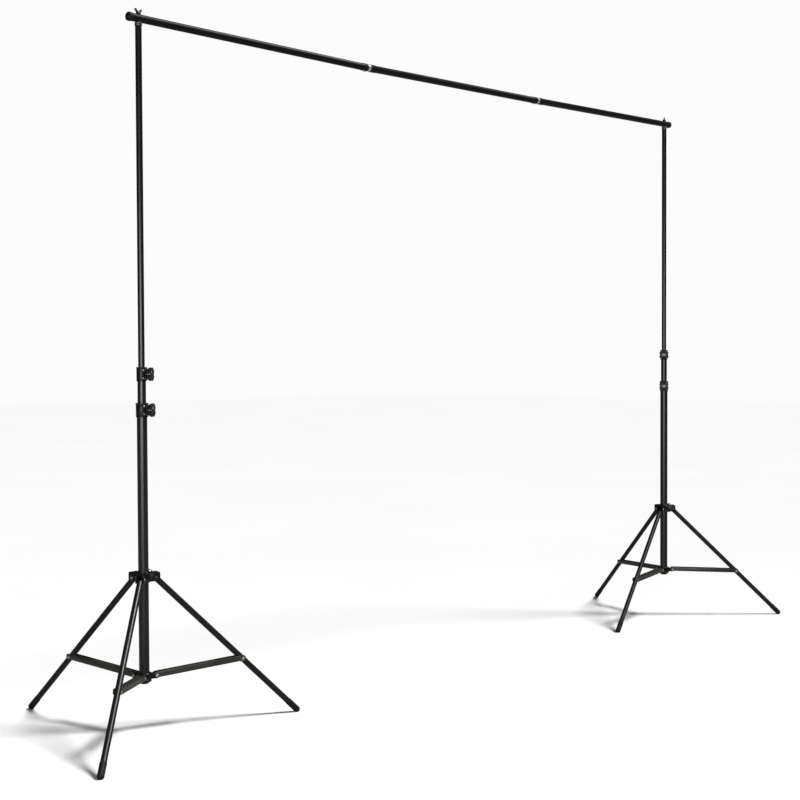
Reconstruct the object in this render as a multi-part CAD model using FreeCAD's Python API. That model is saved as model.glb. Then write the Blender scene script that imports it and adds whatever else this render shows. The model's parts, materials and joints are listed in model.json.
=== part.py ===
import FreeCAD, Part
import math
import os

# Backdrop support: two three-section masts on folding tripods, joined by a
# three-section crossbar that hangs a backdrop between them.
# Millimetres. +X runs along the crossbar, +Z is up. The origin lies on the
# floor under the middle of the footprint.

os.makedirs("parts", exist_ok=True)
V = FreeCAD.Vector
X_AXIS = V(1, 0, 0)
Y_AXIS = V(0, 1, 0)
Z_AXIS = V(0, 0, 1)

# ---- Driving dimensions: whole assembly ----
MAST_SPACING = 2800.0
BAR_AXIS_Z = 2200.0
BAR_MIDDLE_X = 16.0      # halfway between the masts, seen from the footprint's middle
BAR_AXIS_Y = -64.0

# ---- Mast tubes: outer and inner radii, and lengths ----
LOWER_TUBE_R, LOWER_BORE_R = 16.0, 14.5
MIDDLE_TUBE_R, MIDDLE_BORE_R = 13.0, 11.5
TOP_TUBE_R, TOP_BORE_R = 10.0, 8.5
MIDDLE_TUBE_LENGTH = 750.0
TOP_TUBE_LENGTH = 1168.0
COLLAR_ABOVE_PIVOT = 828.0   # from the brace pivots up to the lower collar
BUSH_HEIGHT = 20.0
SLIDE_GAP = 0.3              # all round, between a sliding bush and its bore
COLLAR_GAP = 0.35            # all round, between a collar or hub and the tube it slides on
PIN_GAP = 0.06               # all round, between a pin or screw and its hole

# ---- Collars and knobs ----
COLLAR_HALF_HEIGHT = 22.0
COLLAR_TUBE_DEPTH = 6.0      # how far below the collar's middle its fixed tube ends
LOWER_COLLAR_R, LOWER_LUG_REACH = 18.5, 21.5
UPPER_COLLAR_R, UPPER_LUG_REACH = 15.75, 18.0
LUG_WIDTH = 15.0
LUG_HALF_HEIGHT = 19.0
COLLAR_RIVET_Z = 12.0
COLLAR_RIVET_TURN = 48.0     # round the ring from the lug, to both sides
COLLAR_RIVET_SEAT = 0.4      # how deep the flat under each head is sunk in the ring
COLLAR_RIVET_R, COLLAR_RIVET_SHANK = 1.8, 1.6
COLLAR_RIVET_HEAD_R, COLLAR_RIVET_HEAD = 3.2, 1.4
COLLAR_RIM, COLLAR_RIM_HEIGHT = 0.9, 5.0
SCREW_R = 4.0
KNOB_R = 22.5
KNOB_BACK_R = 16.5
KNOB_NECK_R = 9.0
KNOB_LOBES = 4
LOBE_CUT_R = 10.0
LOBE_CUT_OFFSET = 5.0        # scoop centres, outside the knob's rim

# ---- Tripod ----
PIVOT_RADIUS = 38.0          # leg and brace pivots, from the mast's axis
LEG_LENGTH = 664.0           # hub pivot to the centre of the foot's ball
LEG_JOINT = 400.0            # hub pivot to the brace's pivot on the leg
BRACE_LENGTH = 285.4         # pivot to pivot
LEG_R, LEG_BORE_R = 9.5, 8.3
LEG_TOP = 8.0                # leg above its pivot
LEG_END_GAP = 12.0           # from the tube's lower end to the centre of the foot's ball
FOOT_R = 10.5
FOOT_SLEEVE = 42.0
FOOT_BALL_Z = 8.0            # the ball is cut flat at the floor
RIVET_R = 3.0
RIVET_HEAD_R = 5.5
RIVET_HEAD = 2.0
RIVET_TAPER = 0.62           # the head's face, as a share of its base

# ---- Brace: a channel with its web up, straddling the leg ----
BRACE_GAP_HALF = 10.9
BRACE_WALL = 1.2
BRACE_WEB_INNER = 11.2       # web's underside above the pivot line
BRACE_LOW = -5.2             # flange's lower edge below the pivot line
BRACE_WEB_START = 12.0
BRACE_WEB_END = 190.0        # beyond this the channel is an open fork

# ---- Hubs ----
HUB_R = 22.0
UPPER_HUB_LOW, UPPER_HUB_HIGH = -12.0, 17.5
HUB_NECK_R, HUB_NECK_HEIGHT = 19.0, 5.5
EAR_GAP_HALF = 10.0
EAR_THICKNESS = 4.0
EAR_LOW, EAR_HIGH = -10.0, 18.5
EAR_ROOF = 14.5
EAR_CORNER = 5.0
EAR_POCKET_START = 23.0
CLEVIS_START = 14.0          # clevises and lugs are buried this deep in their hub
CLEVIS_END = 12.0            # beyond the leg's pivot
LOWER_HUB_HALF = 12.0
HUB_FLOOR = 4.0
BOSS_R, BOSS_HEIGHT = 16.0, 6.0
BRACE_LUG_HALF = 10.3
BRACE_LUG_R = 8.0
HUB_BOSS_R, HUB_BOSS_REACH = 9.0, 29.0
HUB_KNOB_RISE = 3.0          # lock screw above the legs' pivots

# ---- Crossbar ----
BAR_R, BAR_BORE_R = 12.5, 11.0
BAR_END = 1441.0             # from the bar's middle to either end
BAR_JOINTS = {"left": (-428.0, -12.3), "right": (511.0, -9.3)}   # x, and how far play lets it hang
RING_WIDTH = 10.0
RING_R = 12.2
SPIGOT_TAIL_R = 9.6          # the male end is loose in its socket
SPIGOT_BORE_R = 8.1
SPIGOT_DEPTH = 60.0
SLEEVE_R, SLEEVE_LENGTH = 13.5, 28.0
END_CAP_R, END_CAP_LENGTH, END_CAP_PLUG = 14.0, 14.0, 30.0
BUTTON_R = 3.5
BUTTON_GAP = 0.4
BUTTON_PROUD = 2.5
BUTTON_FOOT_R = 5.0
BUTTON_FOOT_Z = -5.2         # below the bar's line, inside the spigot's bore
BUTTON_OFFSET = 19.0         # from the ring's middle, in the left-hand section

# ---- Mast head ----
STUD_R = 4.0
STUD_FLANGE_R = 11.5
STUD_FLANGE = 11.0
STUD_PLUG = 40.0
STUD_TOP = 22.0              # above the bar's axis
BAR_SEAT_GAP = 0.3
NUT_BASE_R, NUT_TOP_R = 8.0, 5.6
NUT_HEIGHT = 8.0
WING_HALF_THICKNESS = 2.3
WING_OUTLINE = [
    (3.5, 0.8), (7.0, 0.8), (12.0, 5.5), (17.4, 12.0), (18.2, 15.0), (17.0, 17.4), (14.2, 17.8), (10.8, 14.6),
    (4.6, 7.6), (3.5, 7.6),
]

# ---- The two stands: same parts, each set a little differently ----
STANDS = {
    "left": {
        "x": BAR_MIDDLE_X - MAST_SPACING / 2,
        "pivot_z": 169.0,
        "upper_collar_z": 1108.0,
        "leg_azimuths": (101.9, 221.9, 341.9),
        "knob_azimuth": 308.0,
        "hub_knob_azimuth": 41.9,
        "wing_azimuth": 11.5,
    },
    "right": {
        "x": BAR_MIDDLE_X + MAST_SPACING / 2,
        "pivot_z": 200.0,
        "upper_collar_z": 1168.0,
        "leg_azimuths": (72.9, 192.9, 312.9),
        "knob_azimuth": 214.5,
        "hub_knob_azimuth": 12.9,
        "wing_azimuth": 35.0,
    },
}


# ---- How far each tripod is opened ----
def tripod_setting(pivot_z):
    """Leg and brace angles when the feet are on the floor and the brace pivots at pivot_z."""
    below = LEG_LENGTH - LEG_JOINT
    rise = FOOT_BALL_Z - pivot_z
    a = below ** 2 - LEG_JOINT ** 2
    b = 2 * below * rise
    c = LEG_JOINT ** 2 + rise ** 2 - BRACE_LENGTH ** 2
    cosine = (-b - math.sqrt(b * b - 4 * a * c)) / (2 * a)
    leg_angle = math.acos(cosine)
    hub_z = FOOT_BALL_Z + LEG_LENGTH * cosine
    joint_out = LEG_JOINT * math.sin(leg_angle)
    joint_up = FOOT_BALL_Z + below * cosine - pivot_z
    return {
        "leg_angle": leg_angle,
        "hub_z": hub_z,
        "brace_angle": math.atan2(joint_up, joint_out),
    }


# ---- Shape helpers ----
def rod(radius, start, end, axis=Z_AXIS, centre=V(0, 0, 0)):
    """A cylinder along axis from start to end, measured from centre."""
    return Part.makeCylinder(radius, end - start, centre + axis * start, axis)


def tube(outer_r, inner_r, start, end, axis=Z_AXIS, centre=V(0, 0, 0)):
    return rod(outer_r, start, end, axis, centre).cut(rod(inner_r, start - 1, end + 1, axis, centre))


def block(x, y, z):
    """A box between the two values of each of x, y and z."""
    return Part.makeBox(x[1] - x[0], y[1] - y[0], z[1] - z[0], V(x[0], y[0], z[0]))


def ear_plate(start_x, end_x, low, high, half_width, corner):
    """A plate standing across Y with a square inner end and rounded outer corners."""
    across = (-half_width, half_width)
    straight = block((start_x, end_x - corner), across, (low, high))
    rounds = [rod(corner, *across, Y_AXIS, V(end_x - corner, 0, z)) for z in (low + corner, high - corner)]
    if high - low > 2 * corner:
        rounds.append(block((end_x - corner, end_x), across, (low + corner, high - corner)))
    return straight.multiFuse(rounds).removeSplitter()


def turned(shape, azimuth):
    copy = shape.copy()
    copy.rotate(V(0, 0, 0), Z_AXIS, azimuth)
    return copy


def around(shape, azimuths):
    return [turned(shape, azimuth) for azimuth in azimuths]


def rivet(half_grip, x, z):
    """A rivet across Y with a low head at each end."""
    shank = rod(RIVET_R, -half_grip, half_grip, Y_AXIS, V(x, 0, z))
    heads = []
    for side in (-1, 1):
        start = V(x, side * half_grip, z)
        heads.append(Part.makeCone(RIVET_HEAD_R, RIVET_HEAD_R * RIVET_TAPER, RIVET_HEAD, start, Y_AXIS * side))
    return shank.multiFuse(heads).removeSplitter()


# ---- Mast pieces, on the mast's own axis ----
def collar(middle_z, fixed_r, sliding_r, outer_r, lug_reach):
    """Clamp collar: holds the fixed tube's end and guides the tube that slides in it."""
    low = middle_z - COLLAR_HALF_HEIGHT
    high = middle_z + COLLAR_HALF_HEIGHT
    ring = rod(outer_r, low, high)
    rim = rod(outer_r + COLLAR_RIM, high - COLLAR_RIM_HEIGHT, high)
    lug = block((0, lug_reach), (-LUG_WIDTH / 2, LUG_WIDTH / 2),
                (middle_z - LUG_HALF_HEIGHT, middle_z + LUG_HALF_HEIGHT))
    body = ring.multiFuse([rim, lug]).removeSplitter()
    body = body.cut(rod(fixed_r, low - 1, middle_z - COLLAR_TUBE_DEPTH))
    body = body.cut(rod(sliding_r + COLLAR_GAP, middle_z - COLLAR_TUBE_DEPTH - 1, high + 1))
    body = body.cut(rod(SCREW_R + PIN_GAP, 0, lug_reach + 1, X_AXIS, V(0, 0, middle_z)))
    seat = outer_r - COLLAR_RIVET_SEAT
    for azimuth, z in collar_rivet_places(middle_z):
        centre = V(0, 0, z)
        sunk = rod(COLLAR_RIVET_HEAD_R + PIN_GAP, seat, outer_r + 2, X_AXIS, centre)
        hole = rod(COLLAR_RIVET_R, seat - COLLAR_RIVET_SHANK, seat + 1, X_AXIS, centre)
        body = body.cut(turned(sunk.fuse(hole), azimuth))
    return body


def collar_rivet_places(middle_z):
    """Azimuth from the lug and height of each rivet in a collar's ring."""
    turns = (-COLLAR_RIVET_TURN, COLLAR_RIVET_TURN)
    heights = (middle_z - COLLAR_RIVET_Z, middle_z + COLLAR_RIVET_Z)
    return [(azimuth, z) for azimuth in turns for z in heights]


def collar_rivets(middle_z, outer_r):
    """Short rivets set into the collar's ring, with low tapered heads."""
    seat = outer_r - COLLAR_RIVET_SEAT
    rivets = []
    for azimuth, z in collar_rivet_places(middle_z):
        shank = rod(COLLAR_RIVET_R, seat - COLLAR_RIVET_SHANK, seat, X_AXIS, V(0, 0, z))
        head = Part.makeCone(COLLAR_RIVET_HEAD_R, COLLAR_RIVET_HEAD_R * RIVET_TAPER, COLLAR_RIVET_HEAD,
                             V(seat, 0, z), X_AXIS)
        rivets.append(turned(shank.fuse(head).removeSplitter(), azimuth))
    return rivets


def knob(middle_z, tip, seat):
    """Lobed clamping knob on a pressure screw that runs from tip out through the wall at seat."""
    centre = V(0, 0, middle_z)
    neck = rod(KNOB_NECK_R, seat + 0.4, seat + 4, X_AXIS, centre)
    flare = Part.makeCone(KNOB_BACK_R, KNOB_R, 7, centre + X_AXIS * (seat + 2.5), X_AXIS)
    rim = rod(KNOB_R, seat + 9.5, seat + 14.5, X_AXIS, centre)
    face = Part.makeCone(KNOB_R, KNOB_R - 4, 2.5, centre + X_AXIS * (seat + 14.5), X_AXIS)
    head = neck.multiFuse([flare, rim, face])
    for lobe in range(KNOB_LOBES):
        angle = math.tau * lobe / KNOB_LOBES
        side = V(0, math.cos(angle), math.sin(angle)) * (KNOB_R + LOBE_CUT_OFFSET)
        head = head.cut(rod(LOBE_CUT_R, seat + 3, seat + 22, X_AXIS, centre + side))
    screw = rod(SCREW_R, tip, seat + 5, X_AXIS, centre)
    return head.fuse(screw).removeSplitter()


def top_stud(tube_top):
    """Head fitting: plugs the top tube, carries the crossbar on its flange and the stud through it."""
    seat = BAR_AXIS_Z - BAR_R - BAR_SEAT_GAP
    plug = rod(TOP_BORE_R, tube_top - STUD_PLUG, tube_top)
    flange = rod(STUD_FLANGE_R, tube_top, seat)
    stud = rod(STUD_R, seat, BAR_AXIS_Z + STUD_TOP)
    return plug.multiFuse([flange, stud]).removeSplitter()


def wing_nut():
    base = BAR_AXIS_Z + BAR_R + BAR_SEAT_GAP
    body = Part.makeCone(NUT_BASE_R, NUT_TOP_R, NUT_HEIGHT, V(0, 0, base), Z_AXIS)
    wings = []
    for side in (-1, 1):
        points = [V(side * x, -WING_HALF_THICKNESS, base + z) for x, z in WING_OUTLINE]
        face = Part.Face(Part.makePolygon(points + points[:1]))
        wings.append(face.extrude(V(0, 2 * WING_HALF_THICKNESS, 0)))
    nut = body.multiFuse(wings).removeSplitter()
    return nut.cut(rod(STUD_R + PIN_GAP, base - 1, base + 30))


# ---- Tripod pieces, drawn for a leg that points along +X ----
def upper_hub(hub_z, leg_azimuths, knob_azimuth):
    """Sliding hub: a ring with three roofed clevises for the legs and a boss for the lock knob."""
    ring = rod(HUB_R, hub_z + UPPER_HUB_LOW, hub_z + UPPER_HUB_HIGH)
    neck = rod(HUB_NECK_R, hub_z + UPPER_HUB_HIGH, hub_z + UPPER_HUB_HIGH + HUB_NECK_HEIGHT)
    outer = EAR_GAP_HALF + EAR_THICKNESS
    reach = PIVOT_RADIUS + CLEVIS_END
    clevis = ear_plate(CLEVIS_START, reach, hub_z + EAR_LOW, hub_z + EAR_HIGH, outer, EAR_CORNER)
    pocket = block((EAR_POCKET_START, reach + 1), (-EAR_GAP_HALF, EAR_GAP_HALF),
                   (hub_z + EAR_LOW - 1, hub_z + EAR_ROOF))
    clevis = clevis.cut(pocket)
    clevis = clevis.cut(rod(RIVET_R, -outer - 1, outer + 1, Y_AXIS, V(PIVOT_RADIUS, 0, hub_z)))
    screw_place = V(0, 0, hub_z + HUB_KNOB_RISE)
    boss = turned(rod(HUB_BOSS_R, CLEVIS_START, HUB_BOSS_REACH, X_AXIS, screw_place), knob_azimuth)
    hub = ring.multiFuse([neck, boss] + around(clevis, leg_azimuths)).removeSplitter()
    hub = hub.cut(rod(LOWER_TUBE_R + COLLAR_GAP, hub_z - 40, hub_z + 40))
    screw_hole = rod(SCREW_R + PIN_GAP, 0, HUB_BOSS_REACH + 1, X_AXIS, screw_place)
    return hub.cut(turned(screw_hole, knob_azimuth))


def lower_hub(pivot_z, leg_azimuths):
    """Fixed hub: closes the mast's lower end and carries three lugs for the braces."""
    floor_z = pivot_z - LOWER_HUB_HALF
    ring = rod(HUB_R, floor_z - HUB_FLOOR, pivot_z + LOWER_HUB_HALF)
    boss = Part.makeCone(BOSS_R - 3, BOSS_R, BOSS_HEIGHT, V(0, 0, floor_z - HUB_FLOOR - BOSS_HEIGHT), Z_AXIS)
    lug_low, lug_high = pivot_z - BRACE_LUG_R, pivot_z + BRACE_LUG_R
    lug = ear_plate(CLEVIS_START, PIVOT_RADIUS + BRACE_LUG_R, lug_low, lug_high, BRACE_LUG_HALF, BRACE_LUG_R)
    lug = lug.cut(rod(RIVET_R, -20, 20, Y_AXIS, V(PIVOT_RADIUS, 0, pivot_z)))
    hub = ring.multiFuse([boss] + around(lug, leg_azimuths)).removeSplitter()
    return hub.cut(rod(LOWER_TUBE_R, floor_z, pivot_z + 40))


def leg_direction(leg_angle):
    return V(math.sin(leg_angle), 0, -math.cos(leg_angle))


def leg(hub_z, leg_angle):
    pivot = V(PIVOT_RADIUS, 0, hub_z)
    along = leg_direction(leg_angle)
    body = tube(LEG_R, LEG_BORE_R, -LEG_TOP, LEG_LENGTH - LEG_END_GAP, along, pivot)
    return body.cut(rod(RIVET_R + PIN_GAP, -20, 20, Y_AXIS, pivot))


def foot(hub_z, leg_angle):
    """Closed cap on the leg's end, with a ball tip cut flat where it stands on the floor."""
    pivot = V(PIVOT_RADIUS, 0, hub_z)
    along = leg_direction(leg_angle)
    sleeve = rod(FOOT_R, LEG_LENGTH - FOOT_SLEEVE, LEG_LENGTH, along, pivot)
    ball = Part.makeSphere(FOOT_R, pivot + along * LEG_LENGTH)
    cap = sleeve.fuse(ball).removeSplitter()
    cap = cap.cut(rod(LEG_R, LEG_LENGTH - FOOT_SLEEVE - 1, LEG_LENGTH - LEG_END_GAP, along, pivot))
    below_floor = block((300, 700), (-50, 50), (-50, 0))
    return cap.cut(below_floor)


def brace(pivot_z, brace_angle):
    """Channel with its web up. Its outer third is an open fork that the leg passes through."""
    outer = BRACE_GAP_HALF + BRACE_WALL
    top = BRACE_WEB_INNER + BRACE_WALL
    middle = (BRACE_LOW + top) / 2
    end_r = (top - BRACE_LOW) / 2
    ends = [rod(end_r, -outer, outer, Y_AXIS, V(x, 0, middle)) for x in (0, BRACE_LENGTH)]
    body = block((0, BRACE_LENGTH), (-outer, outer), (BRACE_LOW, top)).multiFuse(ends).removeSplitter()
    inside = (-BRACE_GAP_HALF, BRACE_GAP_HALF)
    body = body.cut(block((-30, BRACE_LENGTH + 30), inside, (BRACE_LOW - 5, BRACE_WEB_INNER)))
    body = body.cut(block((-30, BRACE_WEB_START), inside, (0, top + 5)))
    body = body.cut(block((BRACE_WEB_END, BRACE_LENGTH + 30), inside, (0, top + 5)))
    body = body.cut(rod(RIVET_R + PIN_GAP, -20, 20, Y_AXIS, V(0, 0, 0)))
    body = body.cut(rod(RIVET_R, -20, 20, Y_AXIS, V(BRACE_LENGTH, 0, 0)))
    stubs = []
    for side in (-1, 1):
        start = V(BRACE_LENGTH, side * BRACE_GAP_HALF, 0)
        stub = Part.makeCylinder(RIVET_R, BRACE_WALL, start, Y_AXIS * side)
        head = Part.makeCone(RIVET_HEAD_R, RIVET_HEAD_R * RIVET_TAPER, RIVET_HEAD,
                             start + Y_AXIS * (side * BRACE_WALL), Y_AXIS * side)
        stubs.append(stub.fuse(head).removeSplitter())
    piece = Part.makeCompound(body.Solids + stubs)
    piece.rotate(V(0, 0, 0), Y_AXIS, -math.degrees(brace_angle))
    piece.translate(V(PIVOT_RADIUS, 0, pivot_z))
    return piece


# ---- One stand ----
def stand_nodes(setting):
    pivot_z = setting["pivot_z"]
    azimuths = setting["leg_azimuths"]
    tripod = tripod_setting(pivot_z)
    hub_z = tripod["hub_z"]
    lower_collar_z = pivot_z + COLLAR_ABOVE_PIVOT
    upper_collar_z = setting["upper_collar_z"]
    lower_top = lower_collar_z - COLLAR_TUBE_DEPTH
    middle_top = upper_collar_z - COLLAR_TUBE_DEPTH
    middle_bottom = middle_top - MIDDLE_TUBE_LENGTH
    top_top = BAR_AXIS_Z - BAR_R - STUD_FLANGE
    top_bottom = top_top - TOP_TUBE_LENGTH
    knob_azimuth = setting["knob_azimuth"]

    nodes = {}
    nodes["lower_tube"] = tube(LOWER_TUBE_R, LOWER_BORE_R, pivot_z - LOWER_HUB_HALF, lower_top)
    nodes["middle_tube"] = tube(MIDDLE_TUBE_R, MIDDLE_BORE_R, middle_bottom, middle_top)
    nodes["top_tube"] = tube(TOP_TUBE_R, TOP_BORE_R, top_bottom, top_top)
    nodes["middle_tube_bush"] = tube(LOWER_BORE_R - SLIDE_GAP, MIDDLE_TUBE_R,
                                     middle_bottom, middle_bottom + BUSH_HEIGHT)
    nodes["top_tube_bush"] = tube(MIDDLE_BORE_R - SLIDE_GAP, TOP_TUBE_R, top_bottom, top_bottom + BUSH_HEIGHT)

    lower = collar(lower_collar_z, LOWER_TUBE_R, MIDDLE_TUBE_R, LOWER_COLLAR_R, LOWER_LUG_REACH)
    upper = collar(upper_collar_z, MIDDLE_TUBE_R, TOP_TUBE_R, UPPER_COLLAR_R, UPPER_LUG_REACH)
    nodes["lower_collar"] = turned(lower, knob_azimuth)
    nodes["upper_collar"] = turned(upper, knob_azimuth)
    lower_knob = knob(lower_collar_z, MIDDLE_TUBE_R + SLIDE_GAP, LOWER_LUG_REACH)
    upper_knob = knob(upper_collar_z, TOP_TUBE_R + SLIDE_GAP, UPPER_LUG_REACH)
    hub_knob = knob(hub_z + HUB_KNOB_RISE, LOWER_TUBE_R + SLIDE_GAP, HUB_BOSS_REACH)
    nodes["lower_collar_knob"] = turned(lower_knob, knob_azimuth)
    nodes["upper_collar_knob"] = turned(upper_knob, knob_azimuth)
    nodes["hub_knob"] = turned(hub_knob, setting["hub_knob_azimuth"])
    upper_pins = collar_rivets(upper_collar_z, UPPER_COLLAR_R)
    nodes["upper_collar_rivets"] = turned(Part.makeCompound(upper_pins), knob_azimuth)

    nodes["upper_hub"] = upper_hub(hub_z, azimuths, setting["hub_knob_azimuth"])
    nodes["lower_hub"] = lower_hub(pivot_z, azimuths)
    leg_rivet = rivet(EAR_GAP_HALF + EAR_THICKNESS, PIVOT_RADIUS, hub_z)
    nodes["leg_rivets"] = Part.makeCompound(around(leg_rivet, azimuths))
    brace_rivet = rivet(BRACE_GAP_HALF + BRACE_WALL + SLIDE_GAP, PIVOT_RADIUS, pivot_z)
    lower_pins = around(brace_rivet, azimuths)
    for pin in collar_rivets(lower_collar_z, LOWER_COLLAR_R):
        lower_pins.append(turned(pin, knob_azimuth))
    nodes["column_rivets"] = Part.makeCompound(lower_pins)

    for number, azimuth in enumerate(azimuths, 1):
        nodes["leg_%d" % number] = turned(leg(hub_z, tripod["leg_angle"]), azimuth)
        nodes["foot_%d" % number] = turned(foot(hub_z, tripod["leg_angle"]), azimuth)
        nodes["brace_%d" % number] = turned(brace(pivot_z, tripod["brace_angle"]), azimuth)

    nodes["top_stud"] = top_stud(top_top)
    nodes["wing_nut"] = turned(wing_nut(), setting["wing_azimuth"])
    for shape in nodes.values():
        shape.translate(V(setting["x"], BAR_AXIS_Y, 0))
    return nodes


# ---- Crossbar ----
def bar_profile():
    """The bar's line as (x, z) points: level at the masts, a little low at the two joints."""
    half = MAST_SPACING / 2
    return [(-half, 0.0), BAR_JOINTS["left"], BAR_JOINTS["right"], (half, 0.0)]


def on_bar(shape, section):
    """Carries a shape drawn along X, with its own x and z = 0, onto one section of the bar's line."""
    (x1, z1), (x2, z2) = bar_profile()[section:section + 2]
    slope = math.atan2(z2 - z1, x2 - x1)
    shape.rotate(V(x1, 0, 0), Y_AXIS, -math.degrees(slope))
    shape.translate(V(BAR_MIDDLE_X, BAR_AXIS_Y, BAR_AXIS_Z + z1))
    return shape


def bar_section(section, start, end, sleeves):
    """One tube of the bar, with a short thicker sleeve at each end that meets another section."""
    body = rod(BAR_R, start, end, X_AXIS)
    for low in sleeves:
        body = body.fuse(rod(SLEEVE_R, low, low + SLEEVE_LENGTH, X_AXIS))
    body = body.removeSplitter().cut(rod(BAR_BORE_R, start - 1, end + 1, X_AXIS))
    return on_bar(body, section)


def bar_spigot(section, ring_x):
    """Joint plug: fast in this section's left end, with a bright ring and a loose male tail."""
    half_ring = RING_WIDTH / 2
    fast = rod(BAR_BORE_R, ring_x, ring_x + SPIGOT_DEPTH, X_AXIS)
    ring = rod(RING_R, ring_x - half_ring, ring_x + half_ring, X_AXIS)
    tail = rod(SPIGOT_TAIL_R, ring_x - SPIGOT_DEPTH, ring_x, X_AXIS)
    body = fast.multiFuse([ring, tail]).removeSplitter()
    body = body.cut(rod(SPIGOT_BORE_R, ring_x - SPIGOT_DEPTH - 1, ring_x + SPIGOT_DEPTH + 1, X_AXIS))
    return on_bar(body, section)


def button_place(joint):
    x, z = joint
    return V(BAR_MIDDLE_X + x - BUTTON_OFFSET, BAR_AXIS_Y, BAR_AXIS_Z + z)


def button_hole(joint):
    return rod(BUTTON_R + BUTTON_GAP, -SLEEVE_R - 5, 0, Z_AXIS, button_place(joint))


def snap_button(joint):
    """Button that pokes down through the sleeve, on a flat foot inside the spigot."""
    centre = button_place(joint)
    low = -SLEEVE_R - BUTTON_PROUD
    tip = Part.makeCone(BUTTON_R - 1, BUTTON_R, 1, centre + Z_AXIS * low, Z_AXIS)
    stem = rod(BUTTON_R, low + 1, BUTTON_FOOT_Z, Z_AXIS, centre)
    plate = rod(BUTTON_FOOT_R, BUTTON_FOOT_Z, BUTTON_FOOT_Z + 1.5, Z_AXIS, centre)
    return stem.multiFuse([tip, plate]).removeSplitter()


def end_cap(side):
    """Plastic cap that plugs the bar's open end."""
    end = V(side * BAR_END, 0, 0)
    inward = X_AXIS * -side
    dome = Part.makeCone(END_CAP_R - 4, END_CAP_R, 4, end, inward)
    rim = rod(END_CAP_R, 4, END_CAP_LENGTH, inward, end)
    plug = rod(BAR_BORE_R, END_CAP_LENGTH, END_CAP_PLUG, inward, end)
    cap = dome.multiFuse([rim, plug]).removeSplitter()
    return on_bar(cap, 0 if side < 0 else 2)


def crossbar_nodes():
    half_ring = RING_WIDTH / 2
    left_x, right_x = BAR_JOINTS["left"][0], BAR_JOINTS["right"][0]
    open_end = BAR_END - END_CAP_LENGTH
    stud_holes = []
    for setting in STANDS.values():
        stud_holes.append(rod(STUD_R + PIN_GAP, -20, 20, Z_AXIS, V(setting["x"], BAR_AXIS_Y, BAR_AXIS_Z)))

    nodes = {}
    bar_left = bar_section(0, -open_end, left_x - half_ring, [left_x - half_ring - SLEEVE_LENGTH])
    bar_middle = bar_section(1, left_x + half_ring, right_x - half_ring,
                             [left_x + half_ring, right_x - half_ring - SLEEVE_LENGTH])
    bar_right = bar_section(2, right_x + half_ring, open_end, [right_x + half_ring])
    nodes["bar_left"] = bar_left.cut(stud_holes[0]).cut(button_hole(BAR_JOINTS["left"]))
    nodes["bar_middle"] = bar_middle.cut(button_hole(BAR_JOINTS["right"]))
    nodes["bar_right"] = bar_right.cut(stud_holes[1])
    nodes["bar_end_caps"] = Part.makeCompound([end_cap(-1), end_cap(1)])
    for section, (side, joint) in enumerate(BAR_JOINTS.items(), 1):
        nodes[side + "_bar_spigot"] = bar_spigot(section, joint[0]).cut(button_hole(joint))
        nodes[side + "_snap_button"] = snap_button(joint)
    return nodes


# ---- Export ----
def all_nodes():
    nodes = {}
    for side, setting in STANDS.items():
        for name, shape in stand_nodes(setting).items():
            nodes[side + "_" + name] = shape
    nodes.update(crossbar_nodes())
    return nodes


def main():
    nodes = all_nodes()
    for name, shape in nodes.items():
        if not shape.isValid():
            print("invalid shape:", name)
        shape.exportStep("parts/" + name + ".step")
    box = FreeCAD.BoundBox()
    for shape in nodes.values():
        box.add(shape.BoundBox)
    print(len(nodes), "nodes, box", box)


main()
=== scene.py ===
import json
import math

import bpy
from mathutils import Matrix, Vector

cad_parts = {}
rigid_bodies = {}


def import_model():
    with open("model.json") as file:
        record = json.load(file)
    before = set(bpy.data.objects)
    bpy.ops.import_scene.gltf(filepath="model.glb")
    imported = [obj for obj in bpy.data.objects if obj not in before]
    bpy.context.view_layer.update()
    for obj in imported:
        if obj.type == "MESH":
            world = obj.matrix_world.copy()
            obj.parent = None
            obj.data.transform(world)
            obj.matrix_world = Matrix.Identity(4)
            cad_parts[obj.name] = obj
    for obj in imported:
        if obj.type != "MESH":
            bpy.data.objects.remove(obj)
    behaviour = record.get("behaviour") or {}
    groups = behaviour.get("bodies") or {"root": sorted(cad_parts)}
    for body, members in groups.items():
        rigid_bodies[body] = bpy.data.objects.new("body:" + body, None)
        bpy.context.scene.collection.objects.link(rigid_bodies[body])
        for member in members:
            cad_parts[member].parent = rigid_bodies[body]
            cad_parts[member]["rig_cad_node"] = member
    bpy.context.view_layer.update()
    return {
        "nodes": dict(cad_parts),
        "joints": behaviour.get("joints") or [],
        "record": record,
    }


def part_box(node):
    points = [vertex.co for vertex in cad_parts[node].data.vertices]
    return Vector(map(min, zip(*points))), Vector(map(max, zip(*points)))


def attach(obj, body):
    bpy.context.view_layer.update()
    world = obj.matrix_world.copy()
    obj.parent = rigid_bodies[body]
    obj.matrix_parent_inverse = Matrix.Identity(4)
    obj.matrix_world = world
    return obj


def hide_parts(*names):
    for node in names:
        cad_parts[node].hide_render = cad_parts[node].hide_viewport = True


# Backdrop support: two folding masts and the crossbar that hangs a backdrop.
# Sizes are in millimetres and become metres as each piece is made or placed.

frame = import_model()
joints = {joint["name"]: joint for joint in frame["joints"]}
scene = bpy.context.scene
MM = 0.001

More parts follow.
